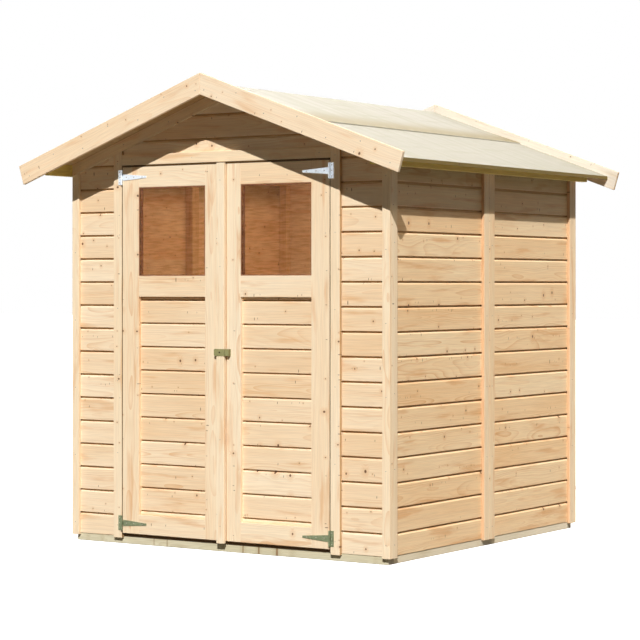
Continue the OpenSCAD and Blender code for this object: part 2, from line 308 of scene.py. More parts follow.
def pine_recipe():
    """The figure of planed softwood: growth rings, fibre, knots and short resin dashes."""
    tree = bpy.data.node_groups.new("pine_figure", "ShaderNodeTree")
    for name, kind in (
        ("Grain", "NodeSocketVector"),
        ("Tone", "NodeSocketFloat"),
        ("Pale", "NodeSocketColor"),
        ("Warm", "NodeSocketColor"),
        ("Late Wood", "NodeSocketColor"),
        ("Knot", "NodeSocketColor"),
        ("Figure", "NodeSocketFloat"),
        ("Knots", "NodeSocketFloat"),
    ):
        tree.interface.new_socket(name, in_out="INPUT", socket_type=kind)
    for name, kind in (
        ("Colour", "NodeSocketColor"),
        ("Roughness", "NodeSocketFloat"),
        ("Height", "NodeSocketFloat"),
    ):
        tree.interface.new_socket(name, in_out="OUTPUT", socket_type=kind)
    given = tree.nodes.new("NodeGroupInput").outputs
    result = tree.nodes.new("NodeGroupOutput").inputs
    grain = given["Grain"]

    sway = tree.nodes.new("ShaderNodeVectorMath")
    sway.operation = "MULTIPLY_ADD"
    drift = cloud(tree, stretch(tree, grain, (1.4, 5.0, 5.0)), output="Color")
    tree.links.new(drift, sway.inputs[0])
    sway.inputs[1].default_value = (0.0, 0.07, 0.07)
    tree.links.new(grain, sway.inputs[2])
    log = split_place(tree, sway.outputs[0])
    side = work(tree, "MULTIPLY", log["Y"], log["Y"])
    depth = work(tree, "MULTIPLY", log["Z"], log["Z"])
    radius = work(tree, "SQRT", work(tree, "ADD", side, depth))

    apart, size, kept = spots(
        tree, stretch(tree, grain, (11.0, 9.0, 3.0)), given["Knots"], *knot_sizes
    )
    heart = work(tree, "MULTIPLY", size, 0.55)
    around = work(tree, "MULTIPLY", size, 4.5)
    core = work(tree, "MULTIPLY", fade(tree, apart, size, heart), kept)
    swirl = work(tree, "MULTIPLY", fade(tree, apart, around, size), kept)
    dash_apart, dash_size, dash_kept = spots(
        tree, stretch(tree, grain, (45.0, 11.0, 3.0)), dash_share, *dash_sizes
    )
    dash_heart = work(tree, "MULTIPLY", dash_size, 0.5)
    dash = work(tree, "MULTIPLY", fade(tree, dash_apart, dash_size, dash_heart), dash_kept)

    bent = work(tree, "MULTIPLY", swirl, 2.2)
    turns = work(tree, "MULTIPLY_ADD", radius, rings_per_metre, bent)
    late = work(tree, "POWER", work(tree, "FRACT", turns), 2.6)
    years = tree.nodes.new("ShaderNodeCombineXYZ")
    tree.links.new(work(tree, "MULTIPLY", radius, 55.0), years.inputs["X"])
    strong = fade(tree, cloud(tree, years.outputs[0], detail=1.0), 0.35, 0.7, 0.15, 1.0)
    rings = work(tree, "MULTIPLY", work(tree, "MULTIPLY", late, strong), given["Figure"])
    fibre = cloud(tree, stretch(tree, grain, (7.0, 300.0, 300.0)), detail=3.0)
    patch = fade(tree, cloud(tree, stretch(tree, grain, (1.1, 5.0, 5.0))), 0.35, 0.65)

    warmth = work(tree, "MULTIPLY_ADD", given["Tone"], 0.62, work(tree, "MULTIPLY", patch, 0.38))
    colour = stain(tree, warmth, given["Pale"], given["Warm"])
    flame = cloud(tree, stretch(tree, grain, (3.2, 24.0, 24.0)), detail=3.0)
    colour = stain(tree, fade(tree, flame, 0.54, 0.72, 0.0, 0.5), colour, given["Late Wood"])
    colour = stain(tree, rings, colour, given["Late Wood"])
    grey = tree.nodes.new("ShaderNodeCombineColor")
    lightness = fade(tree, fibre, 0.25, 0.75, 0.9, 1.04)
    for name in ("Red", "Green", "Blue"):
        tree.links.new(lightness, grey.inputs[name])
    colour = stain(tree, 1.0, colour, grey.outputs[0], "MULTIPLY")
    colour = stain(tree, work(tree, "MULTIPLY", swirl, 0.3), colour, given["Late Wood"])
    colour = stain(tree, work(tree, "MULTIPLY", dash, 0.85), colour, given["Knot"])
    colour = stain(tree, work(tree, "MULTIPLY", core, 0.92), colour, given["Knot"])
    tree.links.new(colour, result["Colour"])

    rough = work(tree, "MULTIPLY_ADD", fibre, 0.16, 0.55)
    tree.links.new(work(tree, "MULTIPLY_ADD", core, -0.14, rough), result["Roughness"])
    raised = work(tree, "MULTIPLY_ADD", rings, 0.7, work(tree, "MULTIPLY", fibre, 0.5))
    tree.links.new(work(tree, "MULTIPLY_ADD", core, -0.4, raised), result["Height"])
    return tree


pine = pine_recipe()


def softwood(name, pale, warm, late_wood, knot, figure=0.5, knots=0.25):
    """A planed or sawn softwood finish with its own colours, figure and share of knots."""
    material, tree, shader = new_finish(name)
    wood = tree.nodes.new("ShaderNodeGroup")
    wood.node_tree = pine
    grain = tree.nodes.new("ShaderNodeAttribute")
    grain.attribute_name = "grain"
    tone = tree.nodes.new("ShaderNodeAttribute")
    tone.attribute_name = "tone"
    tree.links.new(grain.outputs["Vector"], wood.inputs["Grain"])
    tree.links.new(tone.outputs["Fac"], wood.inputs["Tone"])
    for socket, value in (
        ("Pale", pale), ("Warm", warm), ("Late Wood", late_wood), ("Knot", knot),
        ("Figure", figure), ("Knots", knots),
    ):
        wood.inputs[socket].default_value = value
    tree.links.new(wood.outputs["Colour"], shader.inputs["Base Color"])
    tree.links.new(wood.outputs["Roughness"], shader.inputs["Roughness"])
    relief(tree, shader, wood.outputs["Height"], fibre_relief, 0.6)
    shader.inputs["Specular IOR Level"].default_value = 0.3
    return material


def wood_colour(material):
    """A softwood finish's nodes, the colour it has so far, and the socket that takes it."""
    tree = material.node_tree
    taker = tree.nodes["Principled BSDF"].inputs["Base Color"]
    return tree, taker.links[0].from_socket, taker


base_wood = softwood(
    "base_timber",
    pale=paint(222, 213, 184),
    warm=paint(204, 194, 158),
    late_wood=paint(176, 158, 118),
    knot=paint(142, 112, 76),
    figure=0.45,
    knots=0.3,
)
# The faces of the ground frame that look to either side take a paler finish: painted light on the
# lit side.
base_side_painted_light = softwood(
    "base_timber_side_painted_light",
    pale=paint(243, 232, 211),
    warm=paint(224, 213, 185),
    late_wood=paint(196, 178, 140),
    knot=paint(142, 112, 76),
    figure=0.45,
    knots=0.3,
)
base = sawn("base_joists", "base_end_beams")
base_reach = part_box("base_end_beams")[1]
for vert in base.verts:
    for axis in (0, 1):
        if abs(vert.co[axis]) > base_reach[axis] - hair:
            vert.co[axis] -= math.copysign(base_inset, vert.co[axis])
base = arrised(base, base_arris)
face_finish(base, axis=0, number=1)
timber_piece(
    "ground_frame", base, "shed", "base_timber", (base_wood, base_side_painted_light),
    "base_joists", "base_end_beams",
)

# The floor. Tongued and grooved softwood boards, 16 mm thick, laid from side to side over
# the joists with their faces up, and nailed through to every joist.
board_pitch = 0.111
board_arris = 0.0015
floor_chamfer = 0.0015
tight_gap = 0.001
tongue_back = 0.72
tongue_reach = 0.003
tongue_off = 0.0008
least_board = 0.01
first_floor_board = 0.06
floor_courses = 16
# The tongues take a browner finish than the board faces: painted shade in the joints between the
# boards.
tongue_painted_shade = softwood(
    "board_tongues_painted_shade",
    pale=paint(196, 158, 108),
    warm=paint(182, 142, 94),
    late_wood=paint(156, 112, 68),
    knot=paint(80, 50, 28),
)


def course(boards, left, right, low, high, thick, chamfer, gap, place):
    """One tongued board, outer face to -Y, then turned and moved to its place."""
    top = high - gap
    outline = (
        (board_arris, low),
        (0.0, low + board_arris),
        (0.0, top - chamfer),
        (chamfer, top),
        (thick * tongue_back, top),
        (thick * tongue_back, high + tongue_reach),
        (thick - tongue_off, high + tongue_reach),
        (thick - tongue_off, top),
        (thick, top),
        (thick, low + board_arris),
        (thick - board_arris, low),
    )
    ends = [[boards.verts.new((x, y, z)) for y, z in outline] for x in (left, right)]
    near, far = ends
    faces = [boards.faces.new(near), boards.faces.new(far[::-1])]
    for number in range(len(outline)):
        faces.append(
            boards.faces.new((near[number - 1], far[number - 1], far[number], near[number]))
        )
    bmesh.ops.recalc_face_normals(boards, faces=faces)
    for face in faces:
        if face.calc_center_median().z > top + hair and face.normal.y < 0.5:
            face.material_index = 1
    bmesh.ops.transform(boards, matrix=place, verts=near + far)


def boarding(name, boards, body, slot, finish, *nodes):
    """Tongued boards as one piece, their tongues painted browner than their faces as shade in the
    joints.
    """
    timber_piece(name, boards, body, slot, (finish, tongue_painted_shade), *nodes)


def courses(boards, left, right, bottom, top, joints, thick, chamfer, gap, place):
    """Boards one above the other, from bottom to top, meeting at the joints."""
    between = [z for z in joints if bottom + least_board < z < top - least_board]
    lines = [bottom, *between, top]
    for low, high in zip(lines, lines[1:]):
        course(boards, left, right, low, high, thick, chamfer, gap, place)


low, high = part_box("floor_boards")
deck = bmesh.new()
lay_flat = Matrix.Translation((0.0, 0.0, high.z)) @ Matrix.Rotation(math.radians(-90), 4, "X")
deck_joints = [
    low.y + first_floor_board + board_pitch * number for number in range(floor_courses)
]
courses(
    deck, low.x, high.x, low.y, high.y, deck_joints, high.z - low.z, floor_chamfer, tight_gap,
    lay_flat,
)
floor_wood = softwood(
    "floor",
    pale=paint(238, 212, 168),
    warm=paint(222, 184, 132),
    late_wood=paint(196, 142, 88),
    knot=paint(92, 56, 30),
)
boarding("floor_deck", deck, "shed", "floor", floor_wood, "floor_boards")

# The wall cladding. Horizontal tongued and grooved softwood boards, 14 mm thick and 111 mm
# to the joint, with a chamfer along the top of each that catches the light under the dark
# joint. Each wall is a ready-made panel of boards nailed to its posts.
board_gap = 0.0079
wall_chamfer = 0.007
plain_chamfer = 0.0005
first_wall_joint = 0.138
wall_courses = 19
wall_joints = [first_wall_joint + board_pitch * number for number in range(wall_courses)]
panel_gap = 0.003
roof_pitch = math.radians(20)
gable_waste = 0.02
side_waste = 0.003
eave_shade_from = 1.62
eave_shade_to = 1.74
under_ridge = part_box("rear_gable")[1].z
wall_wood = softwood(
    "wall_boards",
    pale=paint(250, 230, 199),
    warm=paint(238, 206, 165),
    late_wood=paint(218, 164, 108),
    knot=paint(90, 54, 30),
    figure=0.6,
    knots=0.42,
)
# The side walls take a warmer, more orange copy of the wall boards' finish: painted light for the
# warmer light on the sides.
side_boards_painted_light_and_shade = softwood(
    "side_wall_boards",
    pale=paint(251, 228, 190),
    warm=paint(242, 204, 156),
    late_wood=paint(214, 154, 94),
    knot=paint(90, 54, 30),
    figure=0.7,
    knots=0.42,
)
# The side boards darken towards the top, under the eaves: painted shade beneath the roof's
# overhang.
tree, colour, taker = wood_colour(side_boards_painted_light_and_shade)
height = split_place(tree, shed_place(tree))["Z"]
eave_painted_shade = fade(tree, height, eave_shade_from, eave_shade_to, 0.0, 0.8)
colour = stain(tree, eave_painted_shade, colour, paint(178, 178, 148), "MULTIPLY")
tree.links.new(colour, taker)


def wall_side(node, turn):
    """Where a wall's outer face is, as the turn and move from a board facing -Y."""
    low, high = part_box(node)
    turned = Matrix.Rotation(math.radians(turn), 4, "Z")
    face = {0: low.y, 180: -high.y, 90: -high.x, -90: low.x}[turn]
    return turned @ Matrix.Translation((0.0, face, 0.0))


def under_roof(boards):
    """Cuts the boards off along both slopes of the roof."""
    for way in (-1, 1):
        bmesh.ops.bisect_plane(
            boards,
            geom=boards.verts[:] + boards.edges[:] + boards.faces[:],
            plane_co=(0.0, 0.0, under_ridge),
            plane_no=(way * math.sin(roof_pitch), 0.0, math.cos(roof_pitch)),
            clear_outer=True,
        )
        cut = [edge for edge in boards.edges if edge.is_boundary]
        bmesh.ops.holes_fill(boards, edges=cut)


low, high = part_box("front_gable")
left_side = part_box("front_wall_left")
right_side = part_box("front_wall_right")
thick = high.y - low.y
over_door = [z for z in wall_joints if z > low.z][0]
wall_foot = left_side[0].z
front = bmesh.new()
place = wall_side("front_gable", 0)
panel_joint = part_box("doorway_side_trims")[1].x
for x_low, x_high in (
    (left_side[0].x, left_side[1].x),
    (right_side[0].x, panel_joint),
    (panel_joint + panel_gap, right_side[1].x),
):
    courses(
        front, x_low, x_high, wall_foot, over_door, wall_joints, thick, wall_chamfer, board_gap,
        place,
    )
course(
    front, left_side[1].x, right_side[0].x, low.z, over_door, thick, plain_chamfer, tight_gap,
    place,
)
second = over_door + board_pitch
for x_low, x_high in ((low.x, panel_joint), (panel_joint + panel_gap, high.x)):
    course(front, x_low, x_high, over_door, second, thick, wall_chamfer, board_gap, place)
courses(
    front, low.x, high.x, second, high.z + gable_waste, wall_joints, thick, wall_chamfer,
    board_gap, place,
)
under_roof(front)
boarding(
    "front_wall_boards", front, "shed", "wall_boards", wall_wood,
    "front_wall_left", "front_wall_right", "front_gable",
)

low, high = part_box("rear_wall")
rear = bmesh.new()
courses(
    rear, low.x, high.x, low.z, under_ridge + gable_waste, wall_joints, thick, wall_chamfer,
    board_gap, wall_side("rear_wall", 180),
)
under_roof(rear)
boarding(
    "rear_wall_boards", rear, "shed", "wall_boards", wall_wood, "rear_wall", "rear_gable"
)

for side, turn in (("left", -90), ("right", 90)):
    cladding = bmesh.new()
    for part in ("front", "rear"):
        node = f"{side}_wall_{part}"
        low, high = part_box(node)
        ends = sorted((low.y, high.y) if turn == 90 else (-low.y, -high.y))
        courses(
            cladding, *ends, low.z, high.z + side_waste, wall_joints, thick, wall_chamfer,
            board_gap, wall_side(node, turn),
        )
    under_roof(cladding)
    boarding(
        f"{side}_wall_boards", cladding, "shed", "wall_boards", side_boards_painted_light_and_shade,
        f"{side}_wall_front", f"{side}_wall_rear",
    )

# The frame inside. Planed 44 x 28 mm posts stand in the corners, beside the doorway and at
# the panel joints, with plates along the wall tops, and the ridge beam and purlins rest in
# the gables. All of it is plain softwood with eased edges, screwed together.
frame_wood = softwood(
    "frame_timber",
    pale=paint(240, 212, 168),
    warm=paint(226, 186, 134),
    late_wood=paint(204, 150, 94),
    knot=paint(98, 58, 30),
)
frame_arris = 0.002
for name, nodes in (
    ("posts_inside", ("corner_posts", "wall_studs", "doorway_posts")),
    ("roof_beams", ("top_plates", "ridge_beam", "inner_purlins")),
):
    timbers = arrised(sawn(*nodes), frame_arris)
    timber_piece(name, timbers, "shed", "frame_timber", frame_wood, *nodes)

# The trims. Planed strips 16 mm thick cover the wall corners, the panel joints and the edge
# of the doorway, and run up under both slopes of each gable. They stand proud of the boards,
# end a little below them, and are fixed with small round-headed galvanised nails.
nail_radius = 0.0022
nail_proud = 0.0008
nail_bite = 0.0002
trim_nail_spacing = 0.34
trim_nail_end = 0.06
trim_arris = 0.0018
head_taper = 0.8
head_rim = 0.3
head_sink = 0.5
crystals_per_metre = 160.0
zinc_relief = 0.0002
damp_below = 0.9
damp_full = 0.6
trim_wood = softwood(
    "trim",
    pale=paint(250, 231, 200),
    warm=paint(244, 216, 176),
    late_wood=paint(226, 172, 116),
    knot=paint(98, 62, 34),
    figure=0.5,
    knots=0.26,
)
# The narrow sides of the wall trims that face front and back take a browner finish: painted shade
# on those sides.
trim_edge_painted_shade = softwood(
    "trim_edges_painted_shade",
    pale=paint(224, 188, 150),
    warm=paint(214, 172, 130),
    late_wood=paint(186, 136, 88),
    knot=paint(90, 54, 30),
)
# The sides of the doorway trims that face across take a darker brown finish still: painted shade
# on them and in the joint beside them.
jamb_edge_painted_shade = softwood(
    "jamb_edges_painted_shade",
    pale=paint(204, 170, 126),
    warm=paint(192, 154, 108),
    late_wood=paint(166, 120, 76),
    knot=paint(90, 54, 30),
)


def metal(name, bright, dull, low_bright=None, low_dull=None, rough=0.38, crystals=0.45):
    """Zinc-coated iron, with soft crystals, and another tint low down where damp reaches it."""
    material, tree, shader = new_finish(name)
    where = shed_place(tree)
    crystal = tree.nodes.new("ShaderNodeTexVoronoi")
    crystal.inputs["Scale"].default_value = crystals_per_metre
    tree.links.new(where, crystal.inputs["Vector"])
    grey = tree.nodes.new("ShaderNodeSeparateColor")
    tree.links.new(crystal.outputs["Color"], grey.inputs["Color"])
    smear = cloud(tree, where, 45.0, 3.0)
    mottle = work(
        tree, "MULTIPLY_ADD", grey.outputs["Red"], crystals, work(tree, "MULTIPLY", smear, 0.5)
    )
    colour = stain(tree, mottle, bright, dull)
    if low_bright:
        damp = fade(tree, split_place(tree, where)["Z"], damp_below, damp_full)
        colour = stain(tree, damp, colour, stain(tree, mottle, low_bright, low_dull))
    tree.links.new(colour, shader.inputs["Base Color"])
    tree.links.new(work(tree, "MULTIPLY_ADD", mottle, 0.25, rough), shader.inputs["Roughness"])
    relief(tree, shader, smear, zinc_relief, 0.4)
    shader.inputs["Metallic"].default_value = 0.75
    return material


nail_metal = metal("nail_zinc", paint(176, 172, 160), paint(128, 122, 108))


def stud_head(heads, place, out, radius, proud, segments=12):
    """One nail or screw head: a low cone with a sunk middle, on a face that looks out."""
    new = bmesh.ops.create_cone(
        heads, cap_ends=True, segments=segments, radius1=radius, radius2=radius * head_taper,
        depth=proud,
    )["verts"]
    bmesh.ops.translate(heads, vec=(0.0, 0.0, proud / 2), verts=new)
    sides = {face for vert in new for face in vert.link_faces}
    top = max(sides, key=lambda face: face.calc_center_median().z)
    rim = bmesh.ops.inset_region(
        heads, faces=[top], thickness=radius * head_rim, use_even_offset=True
    )
    bmesh.ops.translate(heads, vec=(0.0, 0.0, -proud * head_sink), verts=list(top.verts))
    new = set(new) | {vert for face in rim["faces"] for vert in face.verts} | set(top.verts)
    turn = out.to_track_quat("Z", "Y").to_matrix().to_4x4()
    bmesh.ops.transform(heads, matrix=Matrix.Translation(place) @ turn, verts=list(new))


def nails_along(heads, timber, spacing, end, sway=0.0, radius=nail_radius):
    """Nails through the middle of each length of timber, from one end to the other."""
    for stick, middle, along, across, out, size in sticks(timber):
        count = max(2, round((size[0] - 2 * end) / spacing) + 1)
        step = (size[0] - 2 * end) / (count - 1)
        for number in range(count):
            run = -size[0] / 2 + end + step * number
            aside = sway * size[1] * (1 if number % 2 else -1)
            lift = size[2] / 2 - nail_bite
            stud_head(
                heads, middle + along * run + across * aside + out * lift, out, radius, nail_proud
            )


trims = (
    "front_corner_trims",
    "rear_trims",
    "left_wall_trims",
    "right_wall_trims",
    "doorway_side_trims",
    "doorway_head_trim",
    "front_gable_trims",
    "rear_gable_trims",
)
trim_finishes = (trim_wood, trim_edge_painted_shade, jamb_edge_painted_shade)
nails = bmesh.new()
for node in trims:
    strips = sawn(node)
    nails_along(nails, strips, trim_nail_spacing, trim_nail_end)
    strips = arrised(strips, trim_arris)
    if node in ("left_wall_trims", "right_wall_trims"):
        face_finish(strips, axis=1, number=1)
    if node == "doorway_side_trims":
        face_finish(strips, axis=0, number=2)
    timber_piece(f"{node}_planed", strips, "shed", "trim", trim_finishes, node)
piece("trim_nails", nails, "shed", "galvanised_iron", nail_metal)

# The doors. Each leaf is a frame of 97 mm planed stiles and rails, 30 mm thick, with short
# tongued boards let into the lower part and a single glazed light above the middle rail.
# The glass sits in the frame against small beads pinned round it on the inside.
door_wood = softwood(
    "door_frame",
    pale=paint(250, 232, 202),
    warm=paint(244, 216, 178),
    late_wood=paint(220, 162, 104),
    knot=paint(98, 62, 34),
    figure=0.55,
    knots=0.3,
)
door_gap = 0.0066
first_door_joint = 0.165
door_courses = 10
door_joints = [first_door_joint + board_pitch * number for number in range(door_courses)]
leaf_arris = 0.0012
bead_arris = 0.001
bead_width = 0.006
bead_depth = 0.0215
foot_trim = 0.007
seal_width = 0.005
seal_depth = 0.003
seal_arris = 0.0008


def batten(strips, low, high):
    """A plain strip of timber between two corners."""
    new = bmesh.ops.create_cube(strips, size=1.0)["verts"]
    bmesh.ops.scale(strips, vec=Vector(high) - Vector(low), verts=new)
    bmesh.ops.translate(strips, vec=(Vector(low) + Vector(high)) / 2, verts=new)


def bordered(strips, low, high, front, back, width):
    """Four strips laid round the edge of a pane, from front to back."""
    batten(strips, (low.x, front, low.z), (high.x, back, low.z + width))
    batten(strips, (low.x, front, high.z - width), (high.x, back, high.z))
    for x in (low.x, high.x - width):
        batten(strips, (x, front, low.z + width), (x + width, back, high.z - width))


def by_rays(tree, chosen, other_rays, chosen_rays, result):
    """Shows one shader to the chosen rays of light and another to all the rest."""
    either = tree.nodes.new("ShaderNodeMixShader")
    tree.links.new(chosen, either.inputs[0])
    tree.links.new(other_rays.outputs[0], either.inputs[1])
    tree.links.new(chosen_rays.outputs[0], either.inputs[2])
    tree.links.new(either.outputs[0], result.inputs["Surface"])


def window_glass():
    """Thin clear glass, faintly hazed and streaked by rain, that holds back most of the sun."""
    material, tree, shader = new_finish("pane")
    shader.inputs["Transmission Weight"].default_value = 1.0
    shader.inputs["IOR"].default_value = 1.2
    where = shed_place(tree)
    haze = cloud(tree, where, 9.0, 3.0)
    rain = fade(tree, cloud(tree, stretch(tree, where, (14.0, 1.0, 90.0)), detail=4.0), 0.34, 0.7)
    tint = stain(tree, rain, paint(252, 249, 244), paint(232, 220, 202))
    tree.links.new(tint, shader.inputs["Base Color"])
    tree.links.new(fade(tree, haze, 0.3, 0.8, 0.0, 0.06), shader.inputs["Roughness"])
    clear = tree.nodes.new("ShaderNodeBsdfTransparent")
    clear.inputs["Color"].default_value = (0.12, 0.1, 0.08, 1.0)
    rays = tree.nodes.new("ShaderNodeLightPath").outputs
    by_rays(tree, rays["Is Shadow Ray"], shader, clear, tree.nodes["Material Output"])
    return material


glass = window_glass()
# A dark brown finish for the glazing seals, the beads behind the glass and the joint backing; on
# the beads and the backing its darkness is painted shade.
seal_and_painted_shade, tree, shader = new_finish("glazing_seal_and_painted_shade")
dust = fade(tree, cloud(tree, shed_place(tree), 60.0, 3.0), 0.35, 0.75)
dusty = stain(tree, dust, paint(130, 82, 48), paint(156, 104, 66))
tree.links.new(dusty, shader.inputs["Base Color"])
tree.links.new(work(tree, "MULTIPLY_ADD", dust, 0.2, 0.6), shader.inputs["Roughness"])
for side in ("left", "right"):
    body = f"{side}_door"
    stiles = f"{side}_door_stiles"
    rails = f"{side}_door_rails"
    leaf = sawn(stiles, rails)
    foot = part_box(stiles)[0].z
    for vert in leaf.verts:
        if vert.co.z < foot + hair:
            vert.co.z += foot_trim
    leaf = arrised(leaf, leaf_arris)
    timber_piece(f"{side}_door_frame", leaf, body, "door_frame", door_wood, stiles, rails)
    node = f"{side}_door_boards"
    low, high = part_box(node)
    panel = bmesh.new()
    courses(
        panel, low.x, high.x, low.z, high.z + door_gap, door_joints, high.y - low.y, wall_chamfer,
        door_gap, Matrix.Translation((0.0, low.y, 0.0)),
    )
    boarding(f"{side}_door_panel", panel, body, "wall_boards", wall_wood, node)
    node = f"{side}_door_pane"
    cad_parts[node].material_slots[0].material = glass
    low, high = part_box(node)
    beads = bmesh.new()
    bordered(beads, low, high, high.y, high.y + bead_depth, bead_width)
    piece(f"{side}_door_beads", arrised(beads, bead_arris), body, "door_frame", seal_and_painted_shade)
    seal = bmesh.new()
    bordered(seal, low, high, low.y - seal_depth, low.y, seal_width)
    piece(f"{side}_door_seal", arrised(seal, seal_arris), body, "pane", seal_and_painted_shade)

# The door stops. Planed battens screwed inside the doorway, across its head and up both
# posts, that the leaves close against.
low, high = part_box("doorway_posts")
trim_width = 0.05
stop_off = 0.002
stop_thick = 0.018
stop_lap = 0.022
stop_rise = 0.03
stop_arris = 0.0015
stop_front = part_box("left_door_rails")[1].y + stop_off
stop_back = stop_front + stop_thick
stop_low = high.z - stop_lap
inner_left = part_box("doorway_side_trims")[0].x + trim_width
inner_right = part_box("doorway_side_trims")[1].x - trim_width
stops = bmesh.new()
batten(stops, (inner_left, stop_front, stop_low), (inner_right, stop_back, high.z + stop_rise))
for x_low, x_high in (
    (inner_left, inner_left + stop_thick), (inner_right - stop_thick, inner_right)
):
    batten(stops, (x_low, stop_front, low.z), (x_high, stop_back, stop_low - tight_gap))
timber_piece("door_stops", arrised(stops, stop_arris), "shed", "frame_timber", frame_wood)

# The joint backing. A dark brown strip behind the narrow upright joint between the wall panels,
# just to the right of the doorway, so that no daylight shows through it. Its dark brown is painted
# shade in the joint.
backing_lap = 0.012
backing_ahead = 0.001
backing_thick = 0.009
backing_foot = 0.017
backing_rise = 0.07
front = stop_front - backing_ahead
back = front + backing_thick
backing = bmesh.new()
batten(
    backing,
    (panel_joint - backing_lap, front, wall_foot + backing_foot),
    (panel_joint + panel_gap + backing_lap, back, over_door + backing_rise),
)
piece("joint_backing", arrised(backing, bead_arris), "shed", "trim", seal_and_painted_shade)

# The gap strips. Strips of dark brown felt, painted shade for the dark gaps, lie in the narrow
# gaps beside and above the leaves, a little behind their faces, and along the base's front edge
# under their feet.
felt_depth = 0.012
felt_width = 0.0045
felt_sunk = 0.002
sill_sunk = 0.0005
sill_depth = 0.0135
sill_height = 0.009
felt_arris = 0.0006
felt_painted_shade, tree, shader = new_finish("felt_painted_shade")
nap = cloud(tree, shed_place(tree), 140.0, 3.0)
browns = stain(tree, nap, paint(58, 38, 12), paint(90, 64, 26))
tree.links.new(browns, shader.inputs["Base Color"])
shader.inputs["Roughness"].default_value = 0.95
dark_gap_strips = bmesh.new()
leaf_low, leaf_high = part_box("left_door_stiles")
front = leaf_low.y + felt_sunk
back = front + felt_depth
for x_low, x_high in (
    (inner_left, inner_left + felt_width), (inner_right - felt_width, inner_right)
):
    batten(dark_gap_strips, (x_low, front, leaf_low.z), (x_high, back, leaf_high.z))
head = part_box("doorway_head_trim")[0].z
batten(dark_gap_strips, (inner_left, front, leaf_high.z + tight_gap), (inner_right, back, head))
low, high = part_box("base_end_beams")
front = low.y + sill_sunk
back = front + sill_depth
batten(dark_gap_strips, (inner_left, front, high.z), (inner_right, back, high.z + sill_height))
piece("dark_gap_strips_painted_shade", arrised(dark_gap_strips, felt_arris), "shed", "trim", felt_painted_shade)

# The cover strip. A planed batten nailed along the meeting edge of the left leaf, a little
# longer than the leaf at both ends.
strip_nail_spacing = 0.42
strip_nail_end = 0.08
strip_arris = 0.002
strip = sawn("cover_strip")
strip_nails = bmesh.new()
nails_along(strip_nails, strip, strip_nail_spacing, strip_nail_end)
strip = arrised(strip, strip_arris)
timber_piece("cover_strip_planed", strip, "left_door", "trim", trim_wood, "cover_strip")
piece("cover_strip_nails", strip_nails, "left_door", "galvanised_iron", nail_metal)

# The hinges. Pressed T hinges of zinc-coated iron: an upright plate screwed to the doorway
# trim, and a tapering strap screwed across the stile and rail, turning on a pin in rolled
# knuckles. The lower pair has gone dull and greenish from damp.
zinc = metal(
    "galvanised_iron",
    bright=paint(232, 240, 248),
    dull=paint(196, 208, 220),
    low_bright=paint(128, 138, 108),
    low_dull=paint(88, 96, 70),
)
iron_arris = 0.0005
iron_thick = 0.003
hinge_heights = (0.1, 1.741)
pin_places = {"left": -0.5925, "right": 0.5865}
screw_radius = 0.003
screw_proud = 0.0012
screw_sides = 14
plate_screw_run = -0.0125
plate_screw_heights = (-0.025, 0.0, 0.025)
strap_screw_runs = (0.028, 0.072, 0.122)
for name, node, body in (
    ("left_straps", "left_door_straps", "left_door"),
    ("right_straps", "right_door_straps", "right_door"),
    ("hinge_leaves", "hinge_plates", "shed"),
):
    piece(name, arrised(sawn(node), iron_arris, 1), body, "galvanised_iron", zinc, node)
strap_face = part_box("cover_strip")[1].y - iron_thick
out = Vector((0.0, -1.0, 0.0))


def hinge_screw(screws, pin, run, height):
    """One screw of a hinge, so far along from its pin."""
    way = 1 if pin < 0 else -1
    spot = Vector((pin + way * run, strap_face, height))
    stud_head(screws, spot, out, screw_radius, screw_proud, screw_sides)


plate_screws = bmesh.new()
for side, pin in pin_places.items():
    strap_screws = bmesh.new()
    for height in hinge_heights:
        for up in plate_screw_heights:
            hinge_screw(plate_screws, pin, plate_screw_run, height + up)
        for run in strap_screw_runs:
            hinge_screw(strap_screws, pin, run, height)
    piece(f"{side}_strap_screws", strap_screws, f"{side}_door", "galvanised_iron", nail_metal)
piece("hinge_leaf_screws", plate_screws, "shed", "galvanised_iron", nail_metal)

# The latch. A flat plate of olive-passivated iron stands on the cover strip and reaches to a
# small angle keeper on the right leaf. A dark round-headed screw holds the plate.
latch_metal = metal(
    "latch_iron", paint(140, 137, 94), paint(108, 108, 68), rough=0.42, crystals=0.15
)
dark_iron = metal("dark_iron", paint(74, 66, 42), paint(48, 42, 28), rough=0.5)
latch_corner = 0.006
latch_arris = 0.0009
keeper_arris = 0.0007
latch_screw_x = -0.009
latch_screw_radius = 0.0045
latch_screw_sides = 16
latch_low, latch_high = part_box("latch_plate")
latch_bar = sawn("latch_plate")
corners = [
    edge for edge in latch_bar.edges
    if abs((edge.verts[0].co - edge.verts[1].co).normalized().y) > 0.9
    and edge.verts[0].co.x < latch_low.x + 0.001
]
bmesh.ops.bevel(
    latch_bar,
    geom=corners,
    offset=latch_corner,
    offset_type="OFFSET",
    affect="EDGES",
    segments=4,
    profile=0.5,
    material=-1,
)
latch_bar = arrised(latch_bar, latch_arris)
piece("latch_bar", latch_bar, "left_door", "latch_iron", latch_metal, "latch_plate")
keeper = arrised(sawn("latch_keeper"), keeper_arris)
piece("keeper_angle", keeper, "right_door", "latch_iron", latch_metal, "latch_keeper")
latch_screw = bmesh.new()
spot = Vector((latch_screw_x, latch_low.y, (latch_low.z + latch_high.z) / 2))
stud_head(latch_screw, spot, out, latch_screw_radius, nail_proud, latch_screw_sides)
piece("latch_screw", latch_screw, "left_door", "latch_iron", dark_iron)

# The roof. Four pale sheets, two to a slope, run the full depth of the shed. The upper sheet
# laps over the lower one, rain has streaked them down the slope, and the upper sheets are
# darker towards the lap.
dull_from = 0.33
dull_to = 0.53
sheet_arris = 0.001


